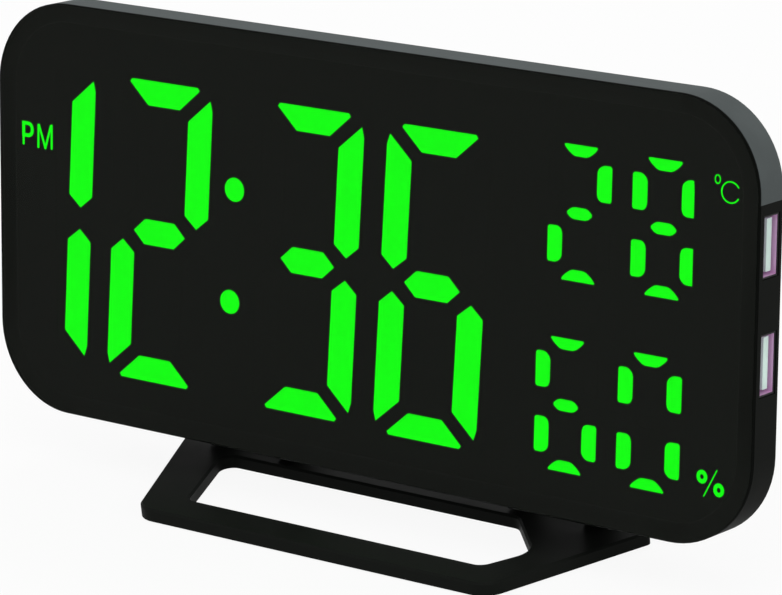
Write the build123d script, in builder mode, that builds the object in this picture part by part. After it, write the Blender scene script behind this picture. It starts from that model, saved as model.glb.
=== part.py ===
from build123d import *
from math import cos, sin, radians
import os

# A lit table clock that shows the time, the temperature and the humidity. Millimetres.
# The housing leans back on a ring stand that lies on the table. The origin is on the table,
# under the middle of the clock. +X is to the viewer's right, -Y towards the viewer, +Z up.

# Housing
face_width = 205.0
face_height = 95.0
corner_radius = 19.7
rim_depth = 9.45
body_depth = 26.0
lean = 9.5
face_rise = 12.6
wall = 2.2
edge_softness = 0.2
slip = 0.15

# Lens, its tape and the printed film's gap behind it
lens_thickness = 1.0
film_gap = 0.2
tape_width = 3.4
tape_inset = 0.5

# Front frame and the trim over its top
plate_thickness = 1.0
window_side = 14.7
window_rim = 5.3
trim_thickness = 1.0
trim_drop = 21.0
trim_slip = 0.05

# Segment mask and the boards
mask_depth = 5.0
mask_gap = 0.2
board_thickness = 1.6
light_depth = 1.6
light_gap = 0.05
chip_size = 1.6
chip_height = 0.8

# Figures of the time: slant, margins in the window, and half width and places as shares of its width
time_half_width_share = 0.078
time_slant_share = 0.052
time_top_margin = 9.6
time_bottom_margin = 5.6
time_place_shares = {"hour_tens": -0.512, "hour_ones": -0.3189, "minute_tens": -0.0792, "minute_ones": 0.1139}
time_drop = 0.4
colon_place_share = -0.1993
colon_rise_share = 0.37
colon_lift = 0.5
colon_radius = 2.7

# Figures of the temperature, above, and of the humidity, below it
climate_half_width_share = 0.045
climate_slant_share = 0.01
climate_softening = 0.4
climate_top_margin = 8.8
climate_bottom_margin = 4.5
climate_gap = 12.3
climate_drop = 0.2
temperature_place_shares = {"temperature_tens": 0.3303, "temperature_ones": 0.4499}
humidity_place_shares = {"humidity_tens": 0.3155, "humidity_ones": 0.4351}

# Corner points of the segments, as shares of a figure's half width and half height
time_upright_shares = [(0.52, 0.152), (0.77, 0.073), (1.01, 0.152), (1.01, 0.86), (0.96, 0.925), (0.52, 0.772)]
time_bar_shares = [(-0.33, 0.838), (0.33, 0.838), (0.73, 0.98), (0.69, 1.0), (-0.69, 1.0), (-0.73, 0.98)]
time_middle_shares = [(-0.54, 0), (-0.31, 0.084), (0.31, 0.084), (0.54, 0), (0.31, -0.084), (-0.31, -0.084)]
climate_upright_shares = [(0.54, 0.29), (0.64, 0.22), (1.0, 0.22), (1.0, 0.75), (0.7, 0.75), (0.54, 0.67)]
climate_bar_shares = [(-0.22, 0.825), (0.22, 0.825), (0.44, 0.91), (0.56, 0.99), (-0.56, 0.99), (-0.44, 0.91)]
climate_middle_shares = [(-0.43, 0), (-0.24, 0.086), (0.24, 0.086), (0.43, 0), (0.24, -0.086), (-0.24, -0.086)]

# What is lit: 12:36, 28 and 60
lit_segments = {
    "hour_tens": "bc",
    "hour_ones": "abged",
    "minute_tens": "abgcd",
    "minute_ones": "afgecd",
    "temperature_tens": "abged",
    "temperature_ones": "abcdefg",
    "humidity_tens": "afgecd",
    "humidity_ones": "abcdef",
}
made_segments = {"hour_tens": "bc"}

# USB-A sockets in the right side, one above the other, and their board
port_level = 5.1
port_pitch = 24.85
port_depth = 5.5
port_length = 12.5
port_height = 5.12
shell_wall = 0.3
shell_length = 13.6
shell_setback = 0.2
tongue_length = 11.1
tongue_thickness = 1.84
tongue_setback = 1.0
tongue_back_gap = 0.8
socket_base_depth = 3.0
contact_width = 1.0
contact_thickness = 0.2
contact_length = 5.0
contact_setback = 2.5
contact_pitch_shares = [-0.32, -0.1, 0.1, 0.32]
usb_board_thickness = 1.0
usb_board_width = 19.4
usb_board_height = 43.0

# Rear housing: a cover plate, a bulge with a recess that the stand folds into
cover_thickness = 1.6
cover_inset = 1.6
lip_depth = 1.2
lip_wall = 1.4
shell_thickness = 2.0
bulge_side = 14.0
bulge_top_inset = 7.0
bulge_bottom_inset = 3.5
bulge_corner = 14.0
bulge_draft = 10.0
back_rounding = 4.0
recess_depth = 4.0
recess_slack = 1.5

# Screws and their bosses
boss_side = 8.0
boss_rim = 11.5
boss_radius = 3.0
screw_radius = 1.1
screw_head_radius = 2.2
screw_head_height = 1.0
screw_length = 7.0
thread_gap = 0.05
ear_side = 11.2
ear_top_inset = 19.0
ear_bottom_inset = 21.5
ear_width = 8.0
ear_height = 6.0
post_radius = 2.0
small_screw_radius = 0.7
small_head_radius = 1.5
small_head_height = 0.8
small_screw_length = 4.2

# Buttons and their switches, in a row across the back
button_names = ["mode_button", "set_button", "plus_button", "minus_button", "light_button"]
button_pitch = 11.0
button_level = 22.5
button_radius = 3.2
button_proud = 0.8
button_gap = 0.3
button_travel = 0.8
button_flange = 4.1
button_flange_thickness = 0.9
button_softness = 0.4
button_rest_gap = 0.1
stem_radius = 1.5
stem_bite = 0.5
well_gap = 0.25
key_board_width = 66.0
key_board_height = 13.0
key_board_setback = 8.0
switch_size = 6.0
switch_height = 3.5
well_clearance = 0.4
key_post_across = 29.5
key_post_radius = 2.4

# Backup cell, its bay, door and contacts
cell_radius = 10.0
cell_thickness = 3.2
cell_gap = 0.4
bay_side = 21.5
bay_level = 16.5
bay_depth = 6.0
bay_wall = 1.4
door_width = 26.0
door_height = 28.0
door_thickness = 1.6
door_corner = 3.0
door_gap = 0.3
door_groove = 0.4
door_groove_pitch = 2.4
contact_strip = 0.3
contact_strip_width = 6.0
contact_strip_length = 9.0

# Power jack in the back
jack_side = 18.5
jack_level = -19.5
jack_radius = 5.2
jack_neck_radius = 3.9
jack_bore_radius = 2.85
jack_bore_depth = 9.5
jack_length = 13.0
jack_pin_radius = 1.0
jack_pin_setback = 0.6

# Vents, buzzer holes, buzzer, sensor and chips on the display board
vent_side = 23.0
vent_level = 16.5
vent_count = 7
vent_width = 1.6
vent_length = 20.0
vent_pitch = 4.0
buzzer_side = 18.5
buzzer_level = -19.5
buzzer_radius = 6.0
buzzer_height = 8.5
sound_hole_radius = 0.9
sound_slot_pitch = 3.4
sound_slot_length = 8.0
sensor_width = 12.0
sensor_height = 15.5
sensor_thickness = 5.5
control_chip_places = [(-20.0, 4.0), (24.0, -8.0)]
control_chip_width = 12.0
control_chip_height = 8.0
control_chip_thickness = 1.6
crystal_place = (-40.0, 4.0)
crystal_radius = 1.5
crystal_length = 8.0
ribbon_width = 10.0
ribbon_thickness = 0.4
ribbon_level = 8.0
ribbon_bend = 1.5

# Ring stand and its hinge
ring_thickness = 3.0
pad_proud = 0.3
ring_front = 18.3
ring_side = 54.5
ring_splay_share = 0.43
ring_bar = 8.2
ring_back_bar = 7.1
ring_corner = 6.0
ring_back_corner = 1.5
opening_splay_share = 0.38
opening_corner = 3.0
opening_end_radius = 5.5
opening_outline_shares = [(-0.815, 0), (0.84, 0), (0.96, 0.44), (0.69, 1), (-1.0, 1)]
ring_back_gap = 0.7
ring_edge_softness = 0.5
pin_radius = 1.25
pin_running_gap = 0.05
pin_seat_gap = 0.02
pin_setback = 0.2
eye_radius = 3.5
hinge_inset = 6.0
knuckle_width = 14.0
lug_width = 5.0
lug_gap = 0.5
washer_thickness = 0.4
washer_radius = 3.0
lug_root_rise = 2.5
lug_setback = 0.2
lug_depth = 9.3
stop_gap = 0.3
stop_length = 5.5
fold_gap = 0.4
pad_sink = 0.6
front_pad_radius = 3.0
front_pad_inset = 12.0
rear_pad_radius = 2.2

# One overrun serves every cut that runs right through
overrun = 1.0

cos_lean = cos(radians(lean))
sin_lean = sin(radians(lean))

# Depths behind the face, from the front backwards
frame_front = lens_thickness + film_gap
board_front = frame_front + mask_depth
board_back = board_front + board_thickness
cover_front = rim_depth
cover_back = cover_front + cover_thickness
back_inside = body_depth - shell_thickness
recess_floor = body_depth - recess_depth
recess_inside = recess_floor - shell_thickness

# Hinge axis: behind the recess by what lets the stand fold in, and on the ring's own level
axis_depth = recess_floor + fold_gap + pad_proud + eye_radius
axis_rise = pad_proud + eye_radius
axis_height = (axis_rise - face_rise + axis_depth * sin_lean) / cos_lean

# Places that follow the face's width and height
window_width = face_width - 2 * window_side
window_height = face_height - 2 * window_rim
time_half_width = time_half_width_share * window_width
climate_half_width = climate_half_width_share * window_width
trim_end = face_height / 2 - trim_drop
boss_across = face_width / 2 - boss_side
boss_up = face_height / 2 - boss_rim
ear_across = face_width / 2 - ear_side
ear_levels = [face_height / 2 - ear_top_inset, ear_bottom_inset - face_height / 2]
bulge_width = face_width - 2 * bulge_side
bulge_top = face_height / 2 - bulge_top_inset
bulge_bottom = bulge_bottom_inset - face_height / 2
bay_across = bulge_width / 2 - bay_side
jack_across = jack_side - bulge_width / 2
vent_across = vent_side - bulge_width / 2
buzzer_across = bulge_width / 2 - buzzer_side
ring_front_half_width = face_width / 2 - ring_side
opening_half_width = ring_front_half_width - ring_bar
hinge_across = ring_front_half_width - hinge_inset
front_pad_across = ring_front_half_width - front_pad_inset

# Depths that follow the back
bay_floor_depth = body_depth - bay_depth
key_board_depth = back_inside - key_board_setback
key_board_back = key_board_depth + board_thickness
switch_well_depth = stem_bite + button_travel + well_clearance
lug_root_back = recess_floor - lug_setback

# Figures: how tall they are and where they stand
time_half_height = (window_height - time_top_margin - time_bottom_margin) / 2
time_level = (time_bottom_margin - time_top_margin) / 2
climate_half_height = (window_height - climate_top_margin - climate_gap - climate_bottom_margin) / 4
temperature_level = window_height / 2 - climate_top_margin - climate_half_height
humidity_level = climate_bottom_margin + climate_half_height - window_height / 2

# The face's lower edge stands where the whole clock is centred on the origin, front to back
draft_inset = (body_depth - cover_back) * sin(radians(bulge_draft)) / cos(radians(bulge_draft))
back_top_height = face_height / 2 + bulge_top - draft_inset
rear_reach = (body_depth - back_rounding) * cos_lean + (back_top_height - back_rounding) * sin_lean
rear_reach = rear_reach + back_rounding
face_y = (ring_front - rear_reach) / 2


def side_point(depth, height):
    """Place in the side view of a point so far behind the face and so far up it."""
    return (face_y + depth * cos_lean + height * sin_lean, face_rise - depth * sin_lean + height * cos_lean)


face_middle_y, face_middle_z = side_point(0, face_height / 2)
face = Plane(origin=(0, face_middle_y, face_middle_z), x_dir=(1, 0, 0), z_dir=(0, -cos_lean, sin_lean))
outward = Axis(face.origin, face.z_dir)
axis_y, axis_z = side_point(axis_depth, axis_height)


def layer(depth):
    """Plane parallel to the face, so far behind it, looking out of it."""
    return face.offset(-depth)


def outline(inset=0, mode=Mode.ADD):
    """Rounded outline of the housing, drawn inwards by the inset."""
    RectangleRounded(face_width - 2 * inset, face_height - 2 * inset, corner_radius - inset, mode=mode)


def save(builder, name):
    builder.part.label = name
    export_step(builder.part, f"parts/{name}.step")


os.makedirs("parts", exist_ok=True)


# Segment shapes
def segment(letter, half_width, half_height, slant_share, shares, softening, grow):
    """One segment of an upright figure centred on the origin, then leant over by the slant."""
    across = -1 if letter in "fe" else 1
    up = -1 if letter in "cde" else 1
    points = [(across * x * half_width, up * y * half_height) for x, y in shares]
    with BuildSketch() as shape:
        Polygon(*[(x + slant_share * y, y) for x, y in points], align=None)
        if softening:
            chamfer(shape.vertices(), softening)
        if grow:
            offset(amount=grow, kind=Kind.INTERSECTION)
    return shape.sketch


def time_segment(letter, grow=0):
    shares = time_upright_shares
    if letter in "ad":
        shares = time_bar_shares
    if letter == "g":
        shares = time_middle_shares
    return segment(letter, time_half_width, time_half_height, time_slant_share, shares, 0, grow)


def climate_segment(letter, grow=0):
    shares = climate_upright_shares
    if letter in "ad":
        shares = climate_bar_shares
    if letter == "g":
        shares = climate_middle_shares
    return segment(
        letter, climate_half_width, climate_half_height, climate_slant_share, shares, climate_softening, grow
    )


time_places = {}
for count, (name, share) in enumerate(time_place_shares.items()):
    steps_from_middle = count - (len(time_place_shares) - 1) / 2
    time_places[name] = (share * window_width, time_level - steps_from_middle * time_drop)
colon_rise = colon_rise_share * time_half_height
colon_places = [
    (colon_place_share * window_width + time_slant_share * rise, time_level + colon_lift + rise)
    for rise in (colon_rise, -colon_rise)
]
climate_places = {}
climate_rows = [(temperature_place_shares, temperature_level), (humidity_place_shares, humidity_level)]
for place_shares, level in climate_rows:
    for count, (name, share) in enumerate(place_shares.items()):
        climate_places[name] = (share * window_width, level - count * climate_drop)


def draw_segments(name, letters, grow=0):
    """Draw the named figure's segments in the sketch that is open."""
    place, maker = climate_places.get(name), climate_segment
    if name in time_places:
        place, maker = time_places[name], time_segment
    with Locations(place):
        for letter in letters:
            add(maker(letter, grow))


# Front lens: a flat smoked sheet over the whole face
with BuildPart() as front_lens:
    with BuildSketch(layer(lens_thickness)):
        outline()
    extrude(amount=lens_thickness)
    chamfer(front_lens.faces().sort_by(outward).last.edges(), edge_softness)
save(front_lens, "front_lens")

# Tape: a thin band round the edge, which holds the lens to the frame
with BuildPart() as lens_tape:
    with BuildSketch(layer(frame_front)):
        outline(tape_inset)
        outline(tape_inset + tape_width, Mode.SUBTRACT)
    extrude(amount=film_gap)
save(lens_tape, "lens_tape")

# The sockets' mouths lie just inside the right side
mouth = face_width / 2 - shell_setback


def socket_plane(setback):
    """Plane across a socket, so far in from its mouth, looking inwards."""
    origin = face.from_local_coords((mouth - setback, 0, 0))
    return Plane(origin=origin, x_dir=face.y_dir, z_dir=(-1, 0, 0))


def draw_across_socket(level, depth, length, thickness, mode=Mode.ADD):
    """Draw a rectangle across a socket: its middle's level and depth, then its length and thickness."""
    with Locations((level, depth)):
        Rectangle(length, thickness, mode=mode)


# Front frame: rim wall, front plate with the display window, bosses and posts
trim_room = trim_thickness + trim_slip
port_hole_length = port_length + 2 * shell_wall + 2 * slip
port_hole_height = port_height + 2 * shell_wall + 2 * slip
port_levels = [port_level + port_pitch / 2, port_level - port_pitch / 2]
ear_places = [(across, level) for across in (-ear_across, ear_across) for level in ear_levels]
usb_board_back = port_depth + port_height / 2 + shell_wall + light_gap + usb_board_thickness
usb_post_places = [(boss_across, port_level), (boss_across, port_level - port_pitch + port_length / 4)]
with BuildPart() as bezel_frame:
    with BuildSketch(layer(rim_depth)):
        outline()
    extrude(amount=rim_depth - frame_front)
    with BuildSketch(layer(rim_depth)):
        outline(wall)
    extrude(amount=rim_depth - frame_front - plate_thickness, mode=Mode.SUBTRACT)
    with BuildSketch(layer(frame_front + plate_thickness)):
        Rectangle(window_width, window_height)
    extrude(amount=plate_thickness + overrun, mode=Mode.SUBTRACT)
    # Room for the trim round the upper part of the rim
    with BuildSketch(layer(rim_depth + overrun)):
        outline()
        outline(trim_room, Mode.SUBTRACT)
        with Locations((0, trim_end - face_height / 2)):
            Rectangle(face_width + overrun, face_height, mode=Mode.SUBTRACT)
    extrude(amount=rim_depth + overrun, mode=Mode.SUBTRACT)
    # Bosses for the housing screws and posts for the display board and the USB board
    with BuildSketch(layer(rim_depth)):
        with GridLocations(2 * boss_across, 2 * boss_up, 2, 2):
            Circle(boss_radius)
            Circle(screw_radius, mode=Mode.SUBTRACT)
    extrude(amount=rim_depth - frame_front - plate_thickness)
    with BuildSketch(layer(board_front)):
        with Locations(*ear_places):
            Circle(post_radius)
            Circle(small_screw_radius, mode=Mode.SUBTRACT)
    extrude(amount=board_front - frame_front - plate_thickness)
    with BuildSketch(layer(usb_board_back)):
        with Locations(*usb_post_places):
            Circle(small_screw_radius)
    extrude(amount=usb_board_thickness)
    with BuildSketch(layer(usb_board_back - usb_board_thickness)):
        with Locations(*usb_post_places):
            Circle(post_radius)
    extrude(amount=usb_board_back - usb_board_thickness - frame_front - plate_thickness)
    # Holes in the right side for the two sockets
    with BuildSketch(socket_plane(-shell_setback)):
        for level in port_levels:
            draw_across_socket(level, port_depth, port_hole_length, port_hole_height)
    extrude(amount=wall + overrun, mode=Mode.SUBTRACT)
save(bezel_frame, "bezel_frame")

# Top trim: a thin band over the top and round both upper corners
with BuildPart() as top_trim:
    with BuildSketch(layer(rim_depth)):
        outline()
        outline(trim_thickness, Mode.SUBTRACT)
        with Locations((0, trim_end + trim_slip - face_height / 2)):
            Rectangle(face_width + overrun, face_height, mode=Mode.SUBTRACT)
    extrude(amount=rim_depth - frame_front)
save(top_trim, "top_trim")

# Segment mask: a black light box with a window for each segment
mask_width = window_width - 2 * mask_gap
mask_height = window_height - 2 * mask_gap
with BuildPart() as segment_mask:
    with BuildSketch(layer(board_front)):
        Rectangle(mask_width, mask_height)
    extrude(amount=mask_depth)
    with BuildSketch(layer(board_front)):
        for name in lit_segments:
            draw_segments(name, made_segments.get(name, "abcdefg"), light_gap)
        with Locations(*colon_places):
            Circle(colon_radius + light_gap)
    extrude(amount=mask_depth, mode=Mode.SUBTRACT)
save(segment_mask, "segment_mask")

# Light windows: one solid for each segment, lit figures apart from the unlit segments
light_back = frame_front + light_depth
for name, letters in lit_segments.items():
    with BuildPart() as figure:
        with BuildSketch(layer(light_back)):
            draw_segments(name, letters)
        extrude(amount=light_depth)
    save(figure, f"{name}_figure")

with BuildPart() as colon_dots:
    with BuildSketch(layer(light_back)):
        with Locations(*colon_places):
            Circle(colon_radius)
    extrude(amount=light_depth)
save(colon_dots, "colon_dots")

with BuildPart() as unlit_segments:
    with BuildSketch(layer(light_back)):
        for name, letters in lit_segments.items():
            dark = [letter for letter in made_segments.get(name, "abcdefg") if letter not in letters]
            draw_segments(name, dark)
    extrude(amount=light_depth)
save(unlit_segments, "unlit_segments")

# Display board: carries the light sources in front and the control parts behind
with BuildPart() as display_board:
    with BuildSketch(layer(board_back)):
        Rectangle(mask_width, mask_height)
        with Locations(*ear_places):
            Rectangle(ear_width, ear_height)
        with Locations(*ear_places):
            Circle(small_screw_radius + slip, mode=Mode.SUBTRACT)
    extrude(amount=board_thickness)
save(display_board, "display_board")


def segment_middle(name, letter):
    """Middle of one segment on the display."""
    half_width, half_height, slant_share = time_half_width, time_half_height, time_slant_share
    place = time_places.get(name)
    if place is None:
        place = climate_places[name]
        half_width, half_height, slant_share = climate_half_width, climate_half_height, climate_slant_share
    across_share = {"b": 0.77, "c": 0.77, "f": -0.77, "e": -0.77}.get(letter, 0)
    up_share = {"a": 0.91, "b": 0.48, "f": 0.48, "g": 0, "c": -0.48, "e": -0.48, "d": -0.91}[letter]
    up = up_share * half_height
    return (place[0] + across_share * half_width + slant_share * up, place[1] + up)


# Light sources: one chip behind each window
with BuildPart() as led_chips:
    with BuildSketch(layer(board_front)):
        chip_places = [
            segment_middle(name, letter)
            for name in lit_segments
            for letter in made_segments.get(name, "abcdefg")
        ]
        with Locations(*chip_places, *colon_places):
            Rectangle(chip_size, chip_size)
    extrude(amount=chip_height)
save(led_chips, "led_chips")

# Parts on the back of the display board
with BuildPart() as control_chips:
    with BuildSketch(layer(board_back + control_chip_thickness)):
        with Locations(*control_chip_places):
            Rectangle(control_chip_width, control_chip_height)
    extrude(amount=control_chip_thickness)
save(control_chips, "control_chips")

crystal_axis = Plane(
    origin=layer(board_back + crystal_radius).from_local_coords((*crystal_place, 0)),
    x_dir=face.y_dir,
    z_dir=(1, 0, 0),
)
with BuildPart() as quartz_crystal:
    with BuildSketch(crystal_axis):
        Circle(crystal_radius)
    extrude(amount=crystal_length / 2, both=True)
save(quartz_crystal, "quartz_crystal")

with BuildPart() as buzzer:
    with BuildSketch(layer(board_back + buzzer_height)):
        with Locations((buzzer_across, buzzer_level)):
            Circle(buzzer_radius)
    extrude(amount=buzzer_height)
    with BuildSketch(layer(board_back + buzzer_height)):
        with Locations((buzzer_across, buzzer_level)):
            Circle(sound_hole_radius)
    extrude(amount=sound_hole_radius, mode=Mode.SUBTRACT)
save(buzzer, "buzzer")

# Temperature and humidity sensor, behind the vents: a ribbed box with a grille of slots
with BuildPart() as climate_sensor:
    with BuildSketch(layer(board_back + sensor_thickness)):
        with Locations((vent_across, vent_level)):
            RectangleRounded(sensor_width, sensor_height, sound_hole_radius)
    extrude(amount=sensor_thickness)
    with BuildSketch(layer(board_back + sensor_thickness)):
        with Locations((vent_across, vent_level)):
            with GridLocations(sensor_width / 4, 0, 3, 1):
                Rectangle(sound_hole_radius, sensor_height / 2)
    extrude(amount=sound_hole_radius, mode=Mode.SUBTRACT)
save(climate_sensor, "climate_sensor")

# USB-A sockets: steel shells, plastic tongues on their base blocks, spring contacts
tongue_depth = port_depth + port_height / 2 - tongue_back_gap - tongue_thickness / 2
for level, name in zip(port_levels, ("upper_usb_shell", "lower_usb_shell")):
    with BuildPart() as usb_shell:
        with BuildSketch(socket_plane(0)):
            draw_across_socket(level, port_depth, port_length + 2 * shell_wall, port_height + 2 * shell_wall)
            draw_across_socket(level, port_depth, port_length, port_height, Mode.SUBTRACT)
        extrude(amount=shell_length)
    save(usb_shell, name)

with BuildPart() as usb_tongues:
    with BuildSketch(socket_plane(tongue_setback)):
        for level in port_levels:
            draw_across_socket(level, tongue_depth, tongue_length, tongue_thickness)
    extrude(amount=shell_length - tongue_setback)
    with BuildSketch(socket_plane(shell_length - socket_base_depth)):
        for level in port_levels:
            draw_across_socket(level, port_depth, port_length - 2 * light_gap, port_height - 2 * light_gap)
    extrude(amount=socket_base_depth)
save(usb_tongues, "usb_tongues")

with BuildPart() as usb_contacts:
    with BuildSketch(socket_plane(tongue_setback + contact_setback)):
        for level in port_levels:
            for share in contact_pitch_shares:
                draw_across_socket(
                    level + share * tongue_length,
                    tongue_depth - tongue_thickness / 2 - contact_thickness / 2,
                    contact_width,
                    contact_thickness,
                )
    extrude(amount=contact_length)
save(usb_contacts, "usb_contacts")

# USB board behind the sockets, and the power parts on its back
usb_board_middle = mouth - shell_wall - wall - usb_board_width / 2
with BuildPart() as usb_board:
    with BuildSketch(layer(usb_board_back)):
        with Locations((usb_board_middle, port_level - light_gap)):
            Rectangle(usb_board_width, usb_board_height)
        with Locations(*usb_post_places):
            Circle(small_screw_radius + light_gap, mode=Mode.SUBTRACT)
    extrude(amount=usb_board_thickness)
save(usb_board, "usb_board")

power_part_across = usb_board_middle - usb_board_width / 2 + control_chip_thickness * 2
with BuildPart() as power_parts:
    with BuildSketch(layer(usb_board_back + control_chip_thickness)):
        with Locations((power_part_across, port_level)):
            with GridLocations(0, port_pitch / 2, 1, 3):
                Rectangle(chip_size * 3, chip_size * 3)
    extrude(amount=control_chip_thickness)
save(power_parts, "power_parts")

# Rear housing: cover plate with its locating lip, hollow bulge, recess, bay, holes, posts and lugs
bulge_height = bulge_top - bulge_bottom
bulge_level = (bulge_top + bulge_bottom) / 2
inner_width = bulge_width - 2 * shell_thickness
inner_height = bulge_height - 2 * shell_thickness
inner_corner = bulge_corner - shell_thickness
button_row = [
    ((step - (len(button_names) - 1) / 2) * button_pitch, button_level) for step in range(len(button_names))
]
key_post_places = [(-key_post_across, button_level), (key_post_across, button_level)]
screw_places = [(across, up) for across in (-boss_across, boss_across) for up in (-boss_up, boss_up)]
bay_middle = (bay_across, bay_level)
jack_middle = (jack_across, jack_level)
# The folded stand lies over the recess: these are its lengths and half widths up from the hinge axis
folded_reach = axis_y - face_y + ring_front
recess_level = axis_height - face_height / 2
recess_far_half = ring_front_half_width + recess_slack
recess_near_half = recess_far_half + ring_splay_share * folded_reach
lug_offsets = [
    -knuckle_width / 2 - lug_gap - lug_width,
    knuckle_width / 2 + lug_gap,
]
lug_starts = [side * hinge_across + offset for side in (-1, 1) for offset in lug_offsets]
ring_top = pad_proud + ring_thickness


def draw_recess(grow=0, mode=Mode.ADD):
    """Outline of the recess, open below the housing and widened by grow."""
    with Locations((0, recess_level)):
        Polygon(
            (-recess_near_half - grow, 0),
            (recess_near_half + grow, 0),
            (recess_far_half + grow, folded_reach + recess_slack + grow),
            (-recess_far_half - grow, folded_reach + recess_slack + grow),
            align=None,
            mode=mode,
        )


with BuildPart() as rear_housing:
    with BuildSketch(layer(cover_back)):
        outline(cover_inset)
    extrude(amount=cover_thickness)
    lip_inset = wall + slip
    with BuildSketch(layer(cover_front)):
        outline(lip_inset)
        outline(lip_inset + lip_wall, Mode.SUBTRACT)
        with Locations((face_width / 2, 0)):
            Rectangle(2 * corner_radius, 2 * boss_up, mode=Mode.SUBTRACT)
        with GridLocations(2 * boss_across, 2 * boss_up, 2, 2):
            Circle(boss_radius + slip, mode=Mode.SUBTRACT)
    extrude(amount=lip_depth)
    with BuildSketch(layer(cover_back)):
        with Locations((0, bulge_level)):
            RectangleRounded(bulge_width, bulge_height, bulge_corner)
    extrude(amount=cover_back - body_depth, taper=bulge_draft)
    fillet(rear_housing.faces().sort_by(outward).first.edges(), back_rounding)
    # Inside of the bulge: over the whole width to the recess, and deeper round the recess
    with BuildSketch(layer(cover_front)):
        with Locations((0, bulge_level)):
            RectangleRounded(inner_width, inner_height, inner_corner)
    extrude(amount=cover_front - recess_inside, taper=bulge_draft, mode=Mode.SUBTRACT)
    with BuildSketch(layer(back_inside)):
        with Locations((0, bulge_level)):
            RectangleRounded(
                inner_width - 2 * back_rounding,
                inner_height - 2 * back_rounding,
                inner_corner - shell_thickness,
            )
        draw_recess(shell_thickness, Mode.SUBTRACT)
    extrude(amount=back_inside - recess_inside, mode=Mode.SUBTRACT)
    with BuildSketch(layer(body_depth + overrun)):
        draw_recess()
    extrude(amount=recess_depth + overrun, mode=Mode.SUBTRACT)
    # Bay for the backup cell, with a ledge for its door
    with BuildSketch(layer(back_inside)):
        with Locations(bay_middle):
            RectangleRounded(door_width + 2 * bay_wall, door_height + 2 * bay_wall, door_corner + bay_wall)
    extrude(amount=back_inside - bay_floor_depth + bay_wall)
    with BuildSketch(layer(body_depth)):
        with Locations(bay_middle):
            RectangleRounded(door_width + 2 * door_gap, door_height + 2 * door_gap, door_corner + door_gap)
    extrude(amount=door_thickness, mode=Mode.SUBTRACT)
    with BuildSketch(layer(body_depth)):
        with Locations(bay_middle):
            Circle(cell_radius + cell_gap)
    extrude(amount=body_depth - bay_floor_depth, mode=Mode.SUBTRACT)
    # Posts for the key board, then the holes: buttons, power jack, vents and buzzer
    with BuildSketch(layer(back_inside)):
        with Locations(*key_post_places):
            Circle(key_post_radius)
    extrude(amount=back_inside - key_board_back)
    with BuildSketch(layer(key_board_back + small_screw_length)):
        with Locations(*key_post_places):
            Circle(small_screw_radius)
    extrude(amount=small_screw_length, mode=Mode.SUBTRACT)
    with BuildSketch(layer(body_depth + overrun)):
        with Locations(*button_row):
            Circle(button_radius + button_gap)
        with Locations(jack_middle):
            Circle(jack_neck_radius + slip)
        with Locations((vent_across, vent_level)):
            with GridLocations(vent_pitch, 0, vent_count, 1):
                Rectangle(vent_width, vent_length)
        with Locations((buzzer_across, buzzer_level)):
            with GridLocations(0, sound_slot_pitch, 1, 3):
                Rectangle(sound_slot_length, 2 * sound_hole_radius)
    extrude(amount=shell_thickness + 2 * overrun, mode=Mode.SUBTRACT)
    # Counterbored holes for the housing screws
    with BuildSketch(layer(cover_back + overrun)):
        with Locations(*screw_places):
            Circle(screw_radius + slip)
    extrude(amount=cover_thickness + 2 * overrun, mode=Mode.SUBTRACT)
    with BuildSketch(layer(cover_back)):
        with Locations(*screw_places):
            Circle(screw_head_radius + slip)
    extrude(amount=screw_head_height, mode=Mode.SUBTRACT)
    # Hinge lugs: each comes down from the bulge, stops the ring from below and ends in an eye
    for start in lug_starts:
        with BuildSketch(Plane.YZ.offset(start)):
            with BuildLine():
                Polyline(
                    side_point(lug_root_back - lug_depth, bulge_bottom_inset + lug_root_rise),
                    side_point(lug_root_back, bulge_bottom_inset + lug_root_rise),
                    side_point(lug_root_back, axis_height + eye_radius),
                    side_point(axis_depth, axis_height + eye_radius),
                    (axis_y, axis_z),
                    (axis_y - eye_radius, ring_top + stop_gap),
                    (axis_y - eye_radius - stop_length, ring_top + stop_gap),
                    close=True,
                )
            make_face()
            with Locations((axis_y, axis_z)):
                Circle(eye_radius)
                Circle(pin_radius + pin_seat_gap, mode=Mode.SUBTRACT)
        extrude(amount=lug_width)
save(rear_housing, "rear_housing")

# Buttons: a cap that stands out of the back, a flange behind the wall and a stem for the switch
for name, place in zip(button_names, button_row):
    with BuildPart() as button:
        with BuildSketch(layer(body_depth + button_proud)):
            with Locations(place):
                Circle(button_radius)
        extrude(amount=button_proud + shell_thickness + button_rest_gap)
        chamfer(button.faces().sort_by(outward).first.edges(), button_softness)
        with BuildSketch(layer(back_inside - button_rest_gap)):
            with Locations(place):
                Circle(button_flange)
        extrude(amount=button_flange_thickness)
        with BuildSketch(layer(back_inside - button_rest_gap - button_flange_thickness)):
            with Locations(place):
                Circle(stem_radius)
        extrude(
            amount=back_inside - button_rest_gap - button_flange_thickness
            - key_board_back - switch_height + stem_bite
        )
    save(button, name)

# Key board with a switch under each button
with BuildPart() as key_board:
    with BuildSketch(layer(key_board_back)):
        with Locations((0, button_level)):
            Rectangle(key_board_width, key_board_height)
        with Locations(*key_post_places):
            Circle(small_screw_radius + slip, mode=Mode.SUBTRACT)
    extrude(amount=board_thickness)
save(key_board, "key_board")

with BuildPart() as key_switches:
    with BuildSketch(layer(key_board_back + switch_height)):
        with Locations(*button_row):
            Rectangle(switch_size, switch_size)
    extrude(amount=switch_height)
    with BuildSketch(layer(key_board_back + switch_height)):
        with Locations(*button_row):
            Circle(stem_radius + well_gap)
    extrude(amount=switch_well_depth, mode=Mode.SUBTRACT)
save(key_switches, "key_switches")

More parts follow.
